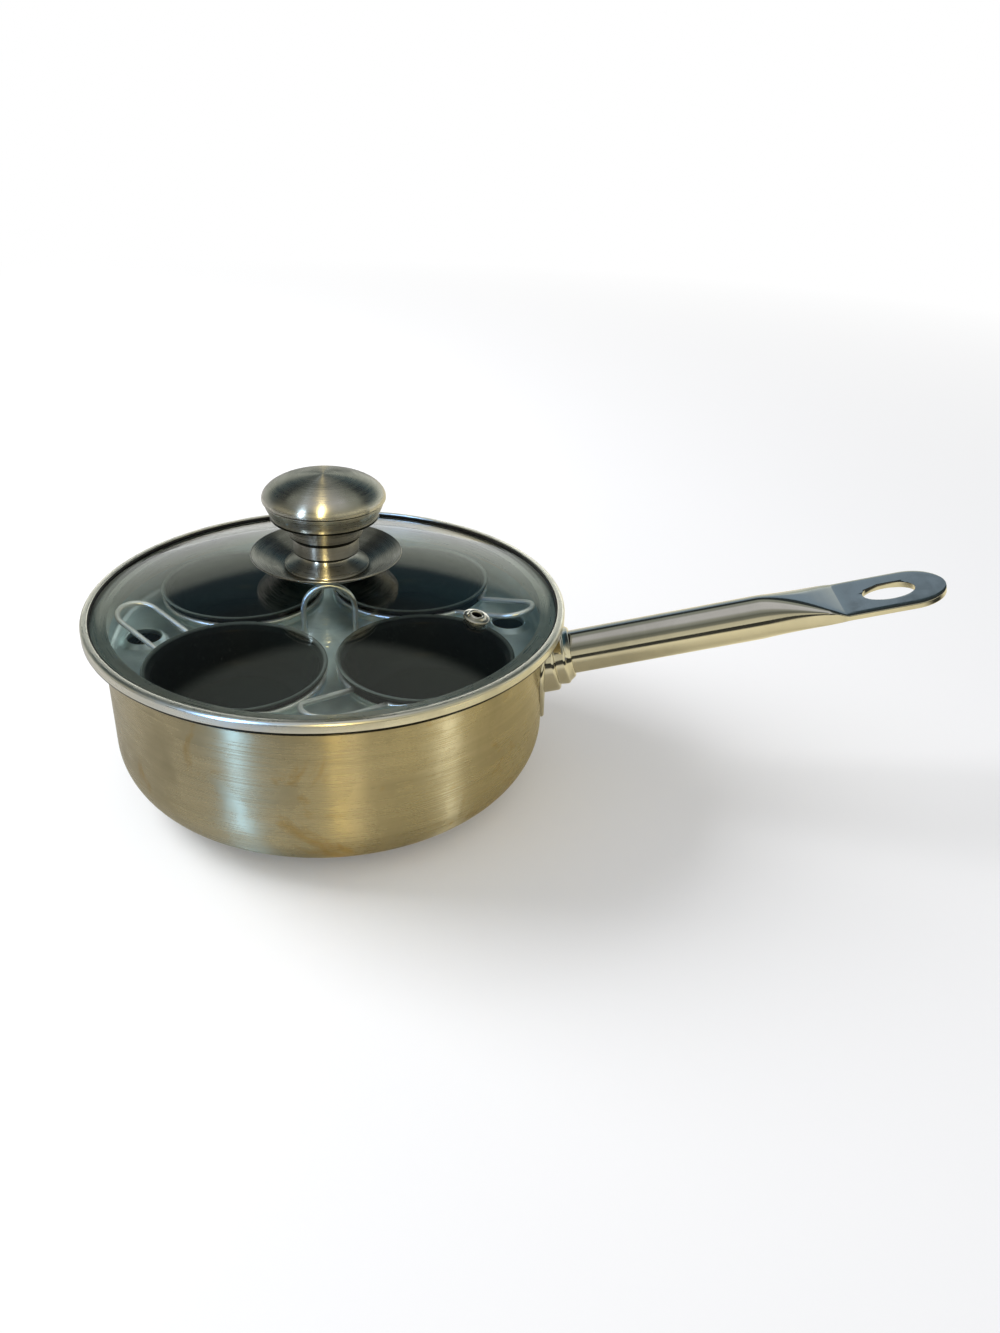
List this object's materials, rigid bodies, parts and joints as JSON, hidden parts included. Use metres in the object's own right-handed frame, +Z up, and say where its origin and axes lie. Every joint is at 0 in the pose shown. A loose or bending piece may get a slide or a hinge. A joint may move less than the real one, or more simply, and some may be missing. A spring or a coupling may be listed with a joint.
{
  "type": "egg poacher pan",
  "caption": "Steel saucepan with a drop-in tray of lift-out non-stick cups, wire grips, a hollow handle and a domed, vented glass lid with a knob.",
  "frame": {"origin": "centre of the base, on the surface that the pan stands on", "axes": "+Z up, +X out along the handle"},
  "size_m": [0.3572, 0.2, 0.135],
  "materials": {
    "brushed_steel": "brushed round the body, lightly worn",
    "polished_steel": "polished",
    "tray_steel": "satin",
    "base_aluminium": "plain, hidden",
    "non_stick": "dark non-stick coat, satin",
    "wire": "bright drawn wire",
    "glass": "clear, faintly green",
    "seal": "matt black",
    "fastener_steel": "plain"
  },
  "bodies": {
    "pan": {"pan_body": "brushed_steel", "base_core": "base_aluminium", "base_cap": "brushed_steel", "handle_bracket": "polished_steel", "handle_tube": "polished_steel"},
    "tray": {"tray_plate": "tray_steel", "tray_handle": "wire"},
    "egg_cup_1": {"cup_1": "non_stick", "cup_wire_1": "wire"},
    "egg_cup_2": {"cup_2": "non_stick", "cup_wire_2": "wire"},
    "egg_cup_3": {"cup_3": "non_stick", "cup_wire_3": "wire"},
    "egg_cup_4": {"cup_4": "non_stick", "cup_wire_4": "wire"},
    "lid": {"lid_glass": "glass", "lid_band": "polished_steel", "lid_seal": "seal", "vent_eyelet": "polished_steel", "vent_washer": "fastener_steel", "knob_plate": "brushed_steel", "knob_foot": "brushed_steel", "knob_stem": "brushed_steel", "knob_under": "brushed_steel", "knob_cap": "brushed_steel", "knob_nut": "fastener_steel", "knob_screw": "fastener_steel", "knob_washer": "fastener_steel", "gasket_upper": "seal", "gasket_lower": "seal"}
  },
  "joints": [
    {"name": "tray_lift", "type": "slide", "parent": "pan", "child": "tray", "axis": [0, 0, 1], "range_m": [0, 0.08]},
    {"name": "cup_1_lift", "type": "slide", "parent": "tray", "child": "egg_cup_1", "axis": [0, 0, 1], "range_m": [0, 0.045]},
    {"name": "cup_2_lift", "type": "slide", "parent": "tray", "child": "egg_cup_2", "axis": [0, 0, 1], "range_m": [0, 0.045]},
    {"name": "cup_3_lift", "type": "slide", "parent": "tray", "child": "egg_cup_3", "axis": [0, 0, 1], "range_m": [0, 0.045]},
    {"name": "cup_4_lift", "type": "slide", "parent": "tray", "child": "egg_cup_4", "axis": [0, 0, 1], "range_m": [0, 0.045]},
    {"name": "lid_lift", "type": "slide", "parent": "egg_cup_1", "child": "lid", "axis": [0, 0, 1], "range_m": [0, 0.08]}
  ],
  "couplings": [
    {"joint": "cup_2_lift", "follows": "cup_1_lift", "ratio": 1},
    {"joint": "cup_3_lift", "follows": "cup_1_lift", "ratio": 1},
    {"joint": "cup_4_lift", "follows": "cup_1_lift", "ratio": 1}
  ]
}
